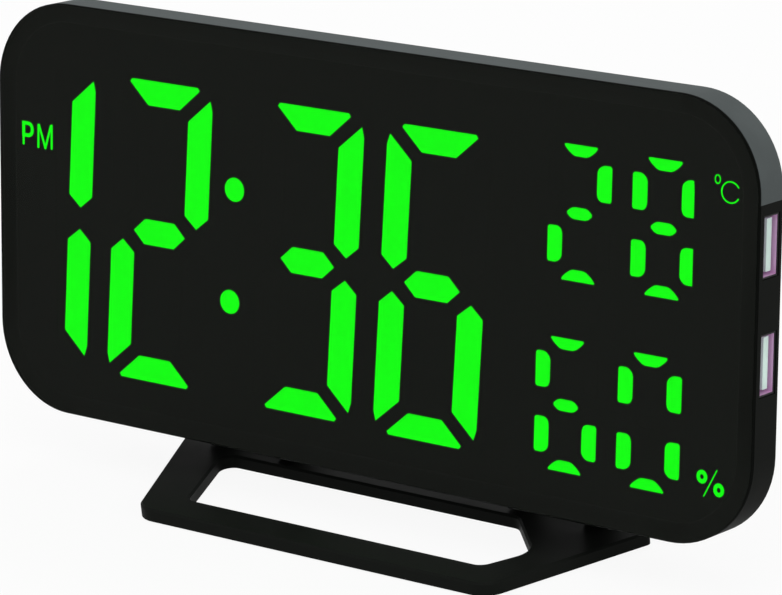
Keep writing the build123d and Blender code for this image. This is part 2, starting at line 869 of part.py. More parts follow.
# Backup cell, its two spring strips and the door over them
cell_front = bay_floor_depth + contact_strip + slip
cell_back = cell_front + cell_thickness
with BuildPart() as coin_cell:
    with BuildSketch(layer(cell_back)):
        with Locations(bay_middle):
            Circle(cell_radius)
    extrude(amount=cell_thickness)
    chamfer(coin_cell.faces().sort_by(outward).last.edges(), contact_strip)
save(coin_cell, "coin_cell")

with BuildPart() as cell_contact_minus:
    with BuildSketch(layer(bay_floor_depth + contact_strip)):
        with Locations(bay_middle):
            Rectangle(contact_strip_length, contact_strip_width)
    extrude(amount=contact_strip)
save(cell_contact_minus, "cell_contact_minus")

with BuildPart() as cell_contact_plus:
    with BuildSketch(layer(cell_back + light_gap + contact_strip)):
        with Locations(bay_middle):
            Circle(cell_radius)
            with Locations((cell_radius - contact_strip_length / 2, 0)):
                Rectangle(contact_strip_length, contact_strip_width, mode=Mode.INTERSECT)
    extrude(amount=contact_strip)
save(cell_contact_plus, "cell_contact_plus")

with BuildPart() as battery_door:
    with BuildSketch(layer(body_depth)):
        with Locations(bay_middle):
            RectangleRounded(door_width, door_height, door_corner)
    extrude(amount=door_thickness)
    with BuildSketch(layer(body_depth)):
        with Locations((bay_across, bay_level - door_height / 4)):
            with GridLocations(0, door_groove_pitch, 1, 3):
                Rectangle(door_width / 2, 2 * door_groove)
    extrude(amount=door_groove, mode=Mode.SUBTRACT)
save(battery_door, "battery_door")

# Power jack: a stepped barrel behind the wall, open to the back round its centre pin
with BuildPart() as power_jack:
    with BuildSketch(layer(body_depth)):
        with Locations(jack_middle):
            Circle(jack_neck_radius)
    extrude(amount=shell_thickness)
    with BuildSketch(layer(back_inside)):
        with Locations(jack_middle):
            Circle(jack_radius)
    extrude(amount=jack_length - shell_thickness)
    with BuildSketch(layer(body_depth)):
        with Locations(jack_middle):
            Circle(jack_bore_radius)
    extrude(amount=jack_bore_depth, mode=Mode.SUBTRACT)
save(power_jack, "power_jack")

with BuildPart() as power_jack_pin:
    with BuildSketch(layer(body_depth - jack_pin_setback)):
        with Locations(jack_middle):
            Circle(jack_pin_radius)
    extrude(amount=jack_bore_depth - jack_pin_setback)
save(power_jack_pin, "power_jack_pin")

# Ribbon cable from the display board up to the key board
with BuildPart() as ribbon_cable:
    half_height = face_height / 2
    turn_depth = (board_back + key_board_depth) / 2
    with BuildSketch(Plane.YZ):
        with BuildLine():
            FilletPolyline(
                side_point(board_back, half_height + ribbon_level),
                side_point(turn_depth, half_height + ribbon_level),
                side_point(turn_depth, half_height + button_level),
                side_point(key_board_depth, half_height + button_level),
                radius=ribbon_bend,
            )
        trace(line_width=ribbon_thickness)
    extrude(amount=ribbon_width / 2, both=True)
save(ribbon_cable, "ribbon_cable")

# Screws: heads are plain discs, shanks a thread's gap under their holes
with BuildPart() as housing_screws:
    with BuildSketch(layer(cover_back)):
        with Locations(*screw_places):
            Circle(screw_head_radius)
    extrude(amount=screw_head_height)
    with BuildSketch(layer(cover_back - screw_head_height)):
        with Locations(*screw_places):
            Circle(screw_radius - thread_gap)
    extrude(amount=screw_length)
save(housing_screws, "housing_screws")

with BuildPart() as board_screws:
    with BuildSketch(layer(board_back + small_head_height)):
        with Locations(*ear_places):
            Circle(small_head_radius)
    extrude(amount=small_head_height)
    with BuildSketch(layer(board_back)):
        with Locations(*ear_places):
            Circle(small_screw_radius - thread_gap)
    extrude(amount=small_screw_length)
save(board_screws, "board_screws")

with BuildPart() as key_board_screws:
    with BuildSketch(layer(key_board_depth)):
        with Locations(*key_post_places):
            Circle(small_head_radius)
    extrude(amount=small_head_height)
    with BuildSketch(layer(key_board_depth)):
        with Locations(*key_post_places):
            Circle(small_screw_radius - thread_gap)
    extrude(amount=-small_screw_length)
save(key_board_screws, "key_board_screws")

# Ring stand: a flat tapered ring, open in the middle, with a knuckle at each side of its back bar
ring_start = face_y - ring_front
ring_end = axis_y - eye_radius - ring_back_gap
ring_length = ring_end - ring_start
opening_start = ring_start + ring_bar
opening_end = ring_end - ring_back_bar
ring_back_half = ring_front_half_width + ring_splay_share * ring_length
opening_length = opening_end - opening_start
opening_back_half = opening_half_width + opening_splay_share * opening_length
opening_points = [
    (across * opening_back_half, opening_start + along * opening_length) for across, along in opening_outline_shares
]
knuckle_starts = [side * hinge_across - knuckle_width / 2 for side in (-1, 1)]
front_pad_places = [(side * front_pad_across, ring_start + ring_bar / 2) for side in (-1, 1)]
rear_pad_places = [(side * hinge_across, axis_y - rear_pad_radius) for side in (-1, 1)]
with BuildPart() as stand_ring:
    with BuildSketch(Plane.XY.offset(pad_proud)) as ring_shape:
        Polygon(
            (-ring_front_half_width, ring_start),
            (ring_front_half_width, ring_start),
            (ring_back_half, ring_end),
            (-ring_back_half, ring_end),
            align=None,
        )
        fillet(ring_shape.vertices().group_by(Axis.Y)[0], ring_corner)
        fillet(ring_shape.vertices().group_by(Axis.Y)[-1], ring_back_corner)
        # The opening: its right end is drawn in and rounder, and that arm is the broader one
        with BuildSketch(mode=Mode.PRIVATE) as opening:
            Polygon(*opening_points, align=None)
            fillet(opening.vertices().sort_by(Axis.X)[-1], opening_end_radius)
            corners = opening.vertices().group_by(Axis.Y)
            fillet(corners[0] + corners[-1], opening_corner)
        add(opening.sketch, mode=Mode.SUBTRACT)
    extrude(amount=ring_thickness)
    chamfer(stand_ring.faces().sort_by(Axis.Z).last.edges(), ring_edge_softness)
    for start in knuckle_starts:
        with BuildSketch(Plane.YZ.offset(start)):
            with Locations((axis_y, axis_z)):
                Circle(eye_radius)
            with Locations((ring_end, pad_proud + ring_thickness / 2)):
                Rectangle(2 * (axis_y - ring_end), ring_thickness)
            make_hull()
        extrude(amount=knuckle_width)
        with BuildSketch(Plane.YZ.offset(start)):
            with Locations((axis_y, axis_z)):
                Circle(pin_radius + pin_running_gap)
        extrude(amount=knuckle_width, mode=Mode.SUBTRACT)
    for places, radius in ((front_pad_places, front_pad_radius), (rear_pad_places, rear_pad_radius)):
        with BuildSketch(Plane.XY.offset(pad_proud)):
            with Locations(*places):
                Circle(radius + light_gap)
        extrude(amount=pad_sink, mode=Mode.SUBTRACT)
save(stand_ring, "stand_ring")

with BuildPart() as stand_pads:
    for places, radius in ((front_pad_places, front_pad_radius), (rear_pad_places, rear_pad_radius)):
        with BuildSketch():
            with Locations(*places):
                Circle(radius)
        extrude(amount=pad_proud + pad_sink)
save(stand_pads, "stand_pads")

# Hinge pins, and a friction washer in each gap beside a knuckle
pin_length = knuckle_width + 2 * (lug_gap + lug_width - pin_setback)
with BuildPart() as hinge_pins:
    for side in (-1, 1):
        with BuildSketch(Plane.YZ.offset(side * hinge_across)):
            with Locations((axis_y, axis_z)):
                Circle(pin_radius)
        extrude(amount=pin_length / 2, both=True)
save(hinge_pins, "hinge_pins")

washer_offset = (knuckle_width + lug_gap) / 2
with BuildPart() as hinge_washers:
    for side in (-1, 1):
        for offset in (-washer_offset, washer_offset):
            with BuildSketch(Plane.YZ.offset(side * hinge_across + offset)):
                with Locations((axis_y, axis_z)):
                    Circle(washer_radius)
                    Circle(pin_radius + light_gap, mode=Mode.SUBTRACT)
            extrude(amount=washer_thickness / 2, both=True)
save(hinge_washers, "hinge_washers")
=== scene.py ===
"""Gives a lit table clock its finishes, small fittings, lights and camera.

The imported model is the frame: its parts are never moved here, only given their materials.
Pieces on the face are made flat in the face's own coordinates, where X runs across it, Y goes
back into the clock and Z runs up it, and are then leant back with it.
"""
from math import cos, radians, sin

import bpy
from bpy.props import FloatProperty, FloatVectorProperty, PointerProperty
from bpy.types import Operator, Panel, PropertyGroup
from mathutils import Matrix, Vector


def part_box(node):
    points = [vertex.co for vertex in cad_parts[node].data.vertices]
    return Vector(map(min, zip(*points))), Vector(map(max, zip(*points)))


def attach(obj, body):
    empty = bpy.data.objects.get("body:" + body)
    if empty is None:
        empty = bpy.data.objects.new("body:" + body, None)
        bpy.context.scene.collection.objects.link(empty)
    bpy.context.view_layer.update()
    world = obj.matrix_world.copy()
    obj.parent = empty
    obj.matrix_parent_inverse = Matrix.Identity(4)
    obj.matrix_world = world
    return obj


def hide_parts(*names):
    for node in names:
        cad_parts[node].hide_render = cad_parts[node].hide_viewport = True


bl_info = {
    "name": "Table Clock Finish",
    "version": (1, 0, 0),
    "blender": (4, 5, 0),
    "location": "View3D > Sidebar > Clock",
    "description": "Finishes, small fittings, lights and camera for a lit table clock",
    "category": "Object",
}

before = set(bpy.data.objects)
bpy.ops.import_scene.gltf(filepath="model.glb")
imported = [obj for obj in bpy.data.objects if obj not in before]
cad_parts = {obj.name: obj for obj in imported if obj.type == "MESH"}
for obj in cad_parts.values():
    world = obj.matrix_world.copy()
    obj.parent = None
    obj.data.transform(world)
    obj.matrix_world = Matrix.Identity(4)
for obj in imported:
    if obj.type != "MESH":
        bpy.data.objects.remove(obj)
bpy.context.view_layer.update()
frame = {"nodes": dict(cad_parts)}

# The face leans back by LEAN. Its size and place are those of its lens
LEAN = radians(9.5)
LENS_THICKNESS = 0.001
lens_low, lens_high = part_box("front_lens")
FACE_HEIGHT = (lens_high.z - lens_low.z - LENS_THICKNESS * sin(LEAN)) / cos(LEAN)
FACE_WIDTH = lens_high.x - lens_low.x
FACE_CORNER = 0.0197
FACE = Matrix.Translation(
    (
        (lens_low.x + lens_high.x) / 2,
        lens_low.y + FACE_HEIGHT / 2 * sin(LEAN),
        lens_low.z + LENS_THICKNESS * sin(LEAN) + FACE_HEIGHT / 2 * cos(LEAN),
    )
) @ Matrix.Rotation(-LEAN, 4, "X")

# Turns a flat shape drawn in X and Y so that it stands on the face, or on the back
TOWARDS_VIEWER = Matrix.Rotation(radians(90), 4, "X")
TOWARDS_BACK = Matrix.Rotation(radians(-90), 4, "X")

# How far behind the lens's front the lit marks and the printed border lie, and how thick both are
MARK_DEPTH = 0.00104
PRINT_DEPTH = 0.00112
PRINT_THICKNESS = 0.00006

# Short edges along the arc of a small rounded corner, and round a whole ring
CORNER_STEPS = 10
RING_STEPS = 48

HOUSING = "housing"
BUTTONS = ("mode_button", "set_button", "plus_button", "minus_button", "light_button")
FIGURES = [name for name in frame["nodes"] if name.endswith("_figure")] + ["colon_dots"]


def face_box(node):
    """Lowest and highest corner of a CAD node in the face's own coordinates."""
    to_face = FACE.inverted()
    points = [to_face @ vertex.co for vertex in frame["nodes"][node].data.vertices]
    low = Vector([min(point[axis] for point in points) for axis in range(3)])
    high = Vector([max(point[axis] for point in points) for axis in range(3)])
    return low, high


# Mesh helpers
def deselect_all():
    """Leave edit mode and select nothing."""
    if bpy.context.object and bpy.context.object.mode != "OBJECT":
        bpy.ops.object.mode_set(mode="OBJECT")
    bpy.ops.object.select_all(action="DESELECT")


def choose(*pieces):
    """Select these pieces alone; the first is the active one."""
    deselect_all()
    for piece in pieces:
        piece.select_set(True)
    bpy.context.view_layer.objects.active = pieces[0]


def new_piece(name):
    """Name the piece that an operator has just added."""
    piece = bpy.context.object
    piece.name = piece.data.name = name
    return piece


def edit(piece, mode="FACE"):
    """Go into edit mode on this piece, with faces, edges or corners to select."""
    choose(piece)
    bpy.ops.object.mode_set(mode="EDIT")
    bpy.ops.mesh.select_mode(type=mode)


def end_edit():
    """Go back to object mode, which keeps what was edited."""
    bpy.ops.object.mode_set(mode="OBJECT")


def select_faces(piece, wanted):
    """Select the faces for which wanted(face) is true, and go on in edit mode."""
    edit(piece)
    bpy.ops.mesh.select_all(action="DESELECT")
    end_edit()
    for face in piece.data.polygons:
        face.select = wanted(face)
    bpy.ops.object.mode_set(mode="EDIT")


def fix_place(piece, matrix):
    """Put a piece in its place and keep that place in its mesh."""
    choose(piece)
    piece.matrix_world = matrix @ piece.matrix_world
    bpy.ops.object.transform_apply(location=True, rotation=True, scale=True)
    if matrix.determinant() < 0:
        edit(piece)
        bpy.ops.mesh.select_all(action="SELECT")
        bpy.ops.mesh.flip_normals()
        end_edit()


def thicken(piece, thickness):
    """Give a flat piece its thickness, evenly to both sides."""
    solidify = piece.modifiers.new("Thickness", "SOLIDIFY")
    solidify.thickness = thickness
    solidify.offset = 0
    choose(piece)
    bpy.ops.object.modifier_apply(modifier=solidify.name)


def cut(piece, cutter, operation="DIFFERENCE"):
    """Cut one piece's shape out of another, or unite them."""
    boolean = piece.modifiers.new("Cut", "BOOLEAN")
    boolean.operation = operation
    boolean.solver = "EXACT"
    boolean.object = cutter
    choose(piece)
    bpy.ops.object.modifier_apply(modifier=boolean.name)
    bpy.data.objects.remove(cutter)


def smooth(piece, degrees=35):
    """Shade a piece smoothly across edges that bend less than this."""
    choose(piece)
    bpy.ops.object.shade_smooth_by_angle(angle=radians(degrees))


def join(name, *pieces):
    """Make one piece of several, under this name."""
    choose(*pieces)
    bpy.ops.object.join()
    return new_piece(name)


def copy_of(piece, name):
    """A copy of a piece with its own mesh."""
    twin = piece.copy()
    twin.data = piece.data.copy()
    twin.name = twin.data.name = name
    bpy.context.scene.collection.objects.link(twin)
    return twin


def finish_piece(piece, material, body):
    """Give a new piece its material and the body that it rides on."""
    piece.data.materials.clear()
    piece.data.materials.append(material)
    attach(piece, body)


def give(material, *nodes):
    """Give CAD nodes their material."""
    for node in nodes:
        materials = frame["nodes"][node].data.materials
        materials.clear()
        materials.append(material)


# Material helpers
def start_material(name, colour, roughness, metallic=0.0, specular=0.5):
    """A new material and its shader, with these plain values set."""
    material = bpy.data.materials.new(name)
    material.use_nodes = True
    shader = material.node_tree.nodes["Principled BSDF"]
    shader.inputs["Base Color"].default_value = (*colour, 1)
    shader.inputs["Roughness"].default_value = roughness
    shader.inputs["Metallic"].default_value = metallic
    shader.inputs["Specular IOR Level"].default_value = specular
    return material, shader


def add_noise(material, size, stretch=(1, 1, 1)):
    """A noise in object coordinates, its features of this size, and longer along stretched axes."""
    nodes, links = material.node_tree.nodes, material.node_tree.links
    coordinates = nodes.new("ShaderNodeTexCoord")
    mapping = nodes.new("ShaderNodeMapping")
    mapping.inputs["Scale"].default_value = [1 / length for length in stretch]
    noise = nodes.new("ShaderNodeTexNoise")
    noise.inputs["Scale"].default_value = 1 / size
    noise.inputs["Detail"].default_value = 3
    links.new(coordinates.outputs["Object"], mapping.inputs["Vector"])
    links.new(mapping.outputs["Vector"], noise.inputs["Vector"])
    return noise


def add_relief(material, shader, noise, depth):
    """Let a noise raise and lower the surface by this depth."""
    bump = material.node_tree.nodes.new("ShaderNodeBump")
    bump.inputs["Distance"].default_value = depth
    material.node_tree.links.new(noise.outputs["Fac"], bump.inputs["Height"])
    material.node_tree.links.new(bump.outputs["Normal"], shader.inputs["Normal"])


def add_shades(material, noise, dark, light, target, margin=0.35):
    """Let the colour of a shader's input wander between two shades, past a margin at both ends."""
    nodes, links = material.node_tree.nodes, material.node_tree.links
    ramp = nodes.new("ShaderNodeValToRGB")
    for stop, place, shade in zip(ramp.color_ramp.elements, (margin, 1 - margin), (dark, light)):
        stop.position = place
        stop.color = (*shade, 1)
    links.new(noise.outputs["Fac"], ramp.inputs["Fac"])
    links.new(ramp.outputs["Color"], target)


def add_wear(material, shader, noise, smooth_value, rough_value, margin=0.3):
    """Let the roughness wander, as on a handled surface, past a margin at the noise's ends."""
    nodes, links = material.node_tree.nodes, material.node_tree.links
    spread = nodes.new("ShaderNodeMapRange")
    spread.inputs["From Min"].default_value = margin
    spread.inputs["From Max"].default_value = 1 - margin
    spread.inputs["To Min"].default_value = smooth_value
    spread.inputs["To Max"].default_value = rough_value
    links.new(noise.outputs["Fac"], spread.inputs["Value"])
    links.new(spread.outputs["Result"], shader.inputs["Roughness"])


def shade_of(colour, share):
    """A colour at this share of its strength."""
    return [channel * share for channel in colour]


def moulded_plastic(name, colour, roughness, grain=0.0004, relief=0.00002, specular=0.3):
    """Moulded plastic: a fine spark-eroded grain, and a shade and gloss that wander a little."""
    material, shader = start_material(name, colour, roughness, specular=specular)
    add_relief(material, shader, add_noise(material, grain), relief)
    cloud_size, shade_spread, gloss_spread = 0.012, 0.07, 0.12 * roughness
    clouds = add_noise(material, cloud_size)
    dark, light = shade_of(colour, 1 - shade_spread), shade_of(colour, 1 + shade_spread)
    add_shades(material, clouds, dark, light, shader.inputs["Base Color"])
    add_wear(material, shader, clouds, roughness - gloss_spread, roughness + gloss_spread)
    return material


def dull_film(name, colours):
    """The flat black of the mask and the print behind the lens."""
    return moulded_plastic(name, colours.film, 0.6, relief=0.000002, specular=0.05)


def add_steel_lines(material, shader, stretch):
    """Give a steel its fine rolled lines, along the stretched axis."""
    line_width, line_depth = 0.0003, 0.000004
    lines = add_noise(material, line_width, stretch)
    add_relief(material, shader, lines, line_depth)
    return lines


def brushed_steel(name, colour, roughness, stretch=(1, 1, 1)):
    """Rolled steel: fine lines, darker and smoother in their depth."""
    material, shader = start_material(name, colour, roughness, metallic=1.0)
    lines = add_steel_lines(material, shader, stretch)
    dark_share, smooth_share, rough_share = 0.88, 0.8, 1.3
    add_shades(material, lines, shade_of(colour, dark_share), colour, shader.inputs["Base Color"])
    add_wear(material, shader, lines, roughness * smooth_share, roughness * rough_share)
    return material


def socket_steel_and_painted_light(name, colours, mouth):
    """Satin tinned steel, bright inside as painted light and dark at the mouth as painted shade."""
    material, shader = start_material(name, colours.shell, 0.5, metallic=0.35, specular=0.3)
    add_steel_lines(material, shader, (12, 1, 1))
    tree = material.node_tree
    coordinates = tree.nodes.new("ShaderNodeTexCoord")
    parts = tree.nodes.new("ShaderNodeSeparateXYZ")
    tree.links.new(coordinates.outputs["Object"], parts.inputs["Vector"])
    # Painted shade: steel outward of the mouth's place takes the dark rim colour; the rest takes
    # the shell colour, painted light
    rim = add_math(tree, "GREATER_THAN", parts.outputs["X"], mouth)
    steel = mix_colours(tree, rim, colours.shell, colours.rim)
    tree.links.new(steel, shader.inputs["Base Color"])
    return material


def glowing_window(name, colours):
    """Diffusing plastic lit from behind; the light falls off a little between the chips."""
    unlit_share, falloff_share, falloff_size, margin = 0.05, 0.94, 0.006, 0.2
    unlit = shade_of(colours.glow, unlit_share)
    material, shader = start_material(name, unlit, 0.5, specular=0.0)
    shader.inputs["Emission Strength"].default_value = colours.glow_strength
    clouds = add_noise(material, falloff_size)
    dim = shade_of(colours.glow, falloff_share)
    add_shades(material, clouds, dim, colours.glow, shader.inputs["Emission Color"], margin)
    return material


def add_math(tree, operation, first, second):
    """A math node; each input is a socket or a number."""
    node = tree.nodes.new("ShaderNodeMath")
    node.operation = operation
    for place, value in enumerate((first, second)):
        if isinstance(value, (int, float)):
            node.inputs[place].default_value = value
        else:
            tree.links.new(value, node.inputs[place])
    return node.outputs[0]


def outside_outline(tree, parts, width, height, corner):
    """1 outside a rounded rectangle round the middle of the face, and 0 inside it."""
    beyond = []
    for axis, half in (("X", width / 2), ("Z", height / 2)):
        reach = add_math(tree, "ABSOLUTE", parts.outputs[axis], 0.0)
        past_arc = add_math(tree, "SUBTRACT", reach, half - corner)
        beyond.append(add_math(tree, "MAXIMUM", past_arc, 0.0))
    squares = [add_math(tree, "MULTIPLY", value, value) for value in beyond]
    distance = add_math(tree, "SQRT", add_math(tree, "ADD", *squares), 0.0)
    return add_math(tree, "GREATER_THAN", distance, corner)


def mix_colours(tree, share, first, second):
    """The first colour where the share is 0, and the second where it is 1.

    Each is a socket or a colour.
    """
    mix = tree.nodes.new("ShaderNodeMix")
    mix.data_type = "RGBA"
    tree.links.new(share, mix.inputs["Factor"])
    for place, value in (("A", first), ("B", second)):
        if isinstance(value, bpy.types.NodeSocket):
            tree.links.new(value, mix.inputs[place])
        else:
            mix.inputs[place].default_value = (*value, 1)
    return mix.outputs["Result"]


def smoked_lens(name, colours, clear_width, clear_height, clear_corner):
    """Smoked acrylic, see-through to the share of its clarity, with a border painted on its back.

    The clear field is a rounded rectangle round the middle of the face. The paint counts only
    behind the middle of the lens's thickness; it is made lighter, as painted light against the
    shade it lies in. The cut edge round the lens is opaque and dull, and dark as painted shade.
    """
    smudge_size, polished, smudged, edge_reach, edge_roughness = 0.02, 0.04, 0.08, 0.0001, 0.9
    material, shader = start_material(name, colours.lens, (polished + smudged) / 2, specular=0.025)
    add_wear(material, shader, add_noise(material, smudge_size), polished, smudged)
    tree = material.node_tree
    coordinates = tree.nodes.new("ShaderNodeTexCoord")
    mapping = tree.nodes.new("ShaderNodeMapping")
    mapping.vector_type = "TEXTURE"
    mapping.inputs["Location"].default_value = FACE.translation
    mapping.inputs["Rotation"].default_value = FACE.to_euler()
    tree.links.new(coordinates.outputs["Object"], mapping.inputs["Vector"])
    parts = tree.nodes.new("ShaderNodeSeparateXYZ")
    tree.links.new(mapping.outputs["Vector"], parts.inputs["Vector"])

    border = outside_outline(tree, parts, clear_width, clear_height, clear_corner)
    on_back = add_math(tree, "GREATER_THAN", parts.outputs["Y"], LENS_THICKNESS / 2)
    painted = add_math(tree, "MULTIPLY", border, on_back)
    cut_edge = outside_outline(
        tree,
        parts,
        FACE_WIDTH - 2 * edge_reach,
        FACE_HEIGHT - 2 * edge_reach,
        FACE_CORNER - edge_reach,
    )
    opaque = add_math(tree, "MAXIMUM", painted, cut_edge)
    body = add_math(tree, "MAXIMUM", opaque, 1 - colours.lens_clarity)
    tree.links.new(body, shader.inputs["Alpha"])
    # Painted light: the paint on the back is lighter than the film, to make up for the shade it
    # lies in
    face = mix_colours(tree, painted, colours.lens, colours.lens_paint_and_light)
    # Painted shade: the cut edge takes a dark colour, as if in shade
    shade = mix_colours(tree, cut_edge, face, colours.lens_edge_shade)
    tree.links.new(shade, shader.inputs["Base Color"])
    polish = shader.inputs["Roughness"].links[0].from_socket
    sawn = add_math(tree, "MULTIPLY", cut_edge, edge_roughness)
    tree.links.new(add_math(tree, "MAXIMUM", polish, sawn), shader.inputs["Roughness"])
    return material


def colour_property(name, description, default):
    return FloatVectorProperty(
        name=name, description=description, default=default, size=3, min=0, max=1, subtype="COLOR"
    )


def length_property(name, description, default):
    return FloatProperty(
        name=name,
        description=description,
        default=default,
        subtype="DISTANCE",
        unit="LENGTH",
        precision=5,
    )


def angle_property(name, description, degrees):
    return FloatProperty(
        name=name,
        description=description,
        default=radians(degrees),
        subtype="ANGLE",
        unit="ROTATION",
    )


def share_property(name, description, default):
    return FloatProperty(
        name=name, description=description, default=default, min=0, max=1, subtype="FACTOR"
    )


def strength_property(name, description, default):
    return FloatProperty(name=name, description=description, default=default, min=0)


def power_property(name, description, default):
    return FloatProperty(name=name, description=description, default=default, min=0, unit="POWER")


class ClockColours(PropertyGroup):
    """Colours of the clock's surfaces"""

    glow: colour_property("Glow", "Colour of the lit figures", (0.001, 1.0, 0.001))
    glow_strength: strength_property("Glow strength", "How strongly the figures shine", 4.0)
    lens: colour_property("Lens", "Colour of the smoked lens", (0.0155, 0.0172, 0.0145))
    # Painted light: the paint is lighter than the film, to make up for the shade it lies in
    lens_paint_and_light: colour_property("Lens paint", "Paint on the lens's back", (0.0235, 0.0262, 0.0228))
    # Painted shade: the cut edge is made dark, as if in shade
    lens_edge_shade: colour_property("Lens edge", "Cut edge of the lens", (0.0025, 0.003, 0.0024))
    lens_clarity: share_property("Lens clarity", "Share of the light that passes the lens", 0.5)
    film: colour_property("Film", "Mask, tape and print behind the lens", (0.0125, 0.014, 0.0122))
    frame: colour_property("Frame", "Colour of the front frame's sides", (0.0062, 0.007, 0.006))
    housing: colour_property("Housing", "Rear housing and battery door", (0.0115, 0.012, 0.0118))
    # The trim's grey is partly its own colour and partly a painted highlight of the light its top
    # catches
    trim: colour_property("Trim", "Colour of the band over the top", (0.088, 0.1, 0.1))
    stand: colour_property("Stand", "Colour of the ring stand", (0.0082, 0.0092, 0.008))
    button: colour_property("Button", "Colour of the five buttons", (0.014, 0.014, 0.015))
    sign: colour_property("Sign", "Colour of the signs on the buttons", (0.55, 0.56, 0.56))
    tongue: colour_property("Tongue", "Plastic inside the sockets", (0.66, 0.84, 0.76))
    # Painted light: the steel inside the sockets is made bright, as if lit
    shell: colour_property("Shell", "Colour inside the sockets' steel", (0.76, 0.47, 0.73))
    # Painted shade: the steel at the sockets' mouths is made dark, as if in shade
    rim: colour_property("Rim", "The sockets' steel at their mouth", (0.012, 0.011, 0.013))
    brass: colour_property("Brass", "Contacts and the power jack's pin", (0.8, 0.62, 0.3))
    screw: colour_property("Screw", "Screws and hinge pins", (0.32, 0.32, 0.33))
    board: colour_property("Board", "Colour of the circuit boards", (0.01, 0.11, 0.04))


class MarkSizes(PropertyGroup):
    """Sizes and places of the small lit marks, in the face's own coordinates"""

    afternoon_left: length_property("Afternoon left", "Left end of the afternoon mark", -0.0965)
    afternoon_right: length_property("Afternoon right", "Right end of the afternoon mark", -0.0873)
    afternoon_bottom: length_property("Afternoon bottom", "Foot of the afternoon mark", 0.0133)
    afternoon_top: length_property("Afternoon top", "Top of the afternoon mark", 0.0192)
    afternoon_stroke: length_property("Afternoon stroke", "Width of that mark's strokes", 0.00056)
    stroke: length_property("Stroke", "Width of the thin strokes of the other marks", 0.0003)
    degree_radius: length_property("Degree radius", "Outer radius of the degree ring", 0.00102)
    celsius_radius: length_property("Celsius radius", "Radius of the letter for Celsius", 0.00234)
    percent_radius: length_property("Per cent radius", "Radius of the per cent's rings", 0.0014)


class StageSizes(PropertyGroup):
    """The camera, measured against the face, and the lamps"""

    azimuth: angle_property("Azimuth", "Camera's turn to the right of the face", 36.97)
    elevation: angle_property("Elevation", "Camera's height above the face's own level", 13.44)
    roll: angle_property("Roll", "Camera's turn about its own line of sight", 0.52)
    distance: length_property("Distance", "From the camera to the point it looks at", 0.97358)
    aim_right: length_property("Aim right", "Where it looks, right of the face's middle", 0.00794)
    aim_up: length_property("Aim up", "Where it looks, above the face's middle", -0.00747)
    focal_length: FloatProperty(
        name="Focal length",
        description="Camera's focal length",
        default=0.20716,
        subtype="DISTANCE_CAMERA",
    )
    sky: strength_property("Sky", "Strength of the even light all round", 0.62)
    key_power: power_property("Key", "Power of the lamp above", 3.5)
    fill_power: power_property("Fill", "Power of the lamp on the right", 4.0)
    back_power: power_property("Back", "Power of the lamp behind", 3.5)
    floor_half: length_property("Floor", "Half the floor's width", 6.0)
    floor_glow: share_property("Floor glow", "Share of the floor that is plain white", 0.92)


class CLOCK_OT_dress_lens(Operator):
    """Give the lens and its tape their finish, and print the dark border behind the lens"""

    bl_idname = "clock.dress_lens"
    bl_label = "Dress the Lens"
    bl_options = {"REGISTER", "UNDO"}

    def execute(self, context):
        colours = context.scene.clock_colours
        tape_inset, print_corner, mask_overlap = 0.0042, 0.0155, 0.0012
        clear_width, clear_height = FACE_WIDTH - 2 * tape_inset, FACE_HEIGHT - 2 * tape_inset
        lens = smoked_lens("smoked_lens", colours, clear_width, clear_height, print_corner)
        give(lens, "front_lens")
        give(moulded_plastic("black_tape", colours.film, 0.7, specular=0.05), "lens_tape")

        # The print covers the joint between the frame and the segment mask
        mask_low, mask_high = face_box("segment_mask")
        bpy.ops.mesh.primitive_plane_add(size=1)
        border = new_piece("border_print")
        border.scale = (clear_width, clear_height, 1)
        bpy.ops.object.transform_apply(scale=True)
        edit(border, "VERT")
        bpy.ops.mesh.select_all(action="SELECT")
        bpy.ops.mesh.bevel(affect="VERTICES", offset=print_corner, segments=CORNER_STEPS)
        bpy.ops.mesh.select_mode(type="FACE")
        bpy.ops.mesh.select_all(action="SELECT")
        inset = (clear_height - (mask_high.z - mask_low.z)) / 2 + mask_overlap
        bpy.ops.mesh.inset(thickness=inset)
        inner_width = clear_width - 2 * inset
        wanted_width = mask_high.x - mask_low.x - 2 * mask_overlap
        bpy.ops.transform.resize(value=(wanted_width / inner_width, 1, 1))
        bpy.ops.mesh.delete(type="FACE")
        end_edit()
        thicken(border, PRINT_THICKNESS)
        fix_place(border, FACE @ Matrix.Translation((0, PRINT_DEPTH, 0)) @ TOWARDS_VIEWER)
        finish_piece(border, dull_film("border_ink", colours), HOUSING)
        return {"FINISHED"}


class CLOCK_OT_dress_figures(Operator):
    """Light the figures and the colon, and darken the mask and the unlit segments"""

    bl_idname = "clock.dress_figures"
    bl_label = "Dress the Figures"
    bl_options = {"REGISTER", "UNDO"}

    def execute(self, context):
        colours = context.scene.clock_colours
        give(glowing_window("lit_segment", colours), *FIGURES)
        give(dull_film("mask_black", colours), "segment_mask")
        give(dull_film("unlit_segment", colours), "unlit_segments")
        return {"FINISHED"}


def flat_ring(name, inner_share, opening=0):
    """A flat ring of radius 1 about the origin, open to the right over this angle."""
    bpy.ops.mesh.primitive_circle_add(vertices=RING_STEPS, radius=1, fill_type="NOTHING")
    ring = new_piece(name)
    edit(ring, "EDGE")
    bpy.ops.mesh.select_all(action="SELECT")
    bpy.ops.mesh.extrude_region_move()
    bpy.ops.transform.resize(value=(inner_share, inner_share, 1))
    bpy.ops.mesh.select_all(action="SELECT")
    bpy.ops.mesh.normals_make_consistent(inside=False)
    end_edit()
    if opening:
        right = Vector((1, 0))
        select_faces(ring, lambda face: face.center.to_2d().angle(right) < opening / 2)
        bpy.ops.mesh.delete(type="FACE")
        end_edit()
    return ring


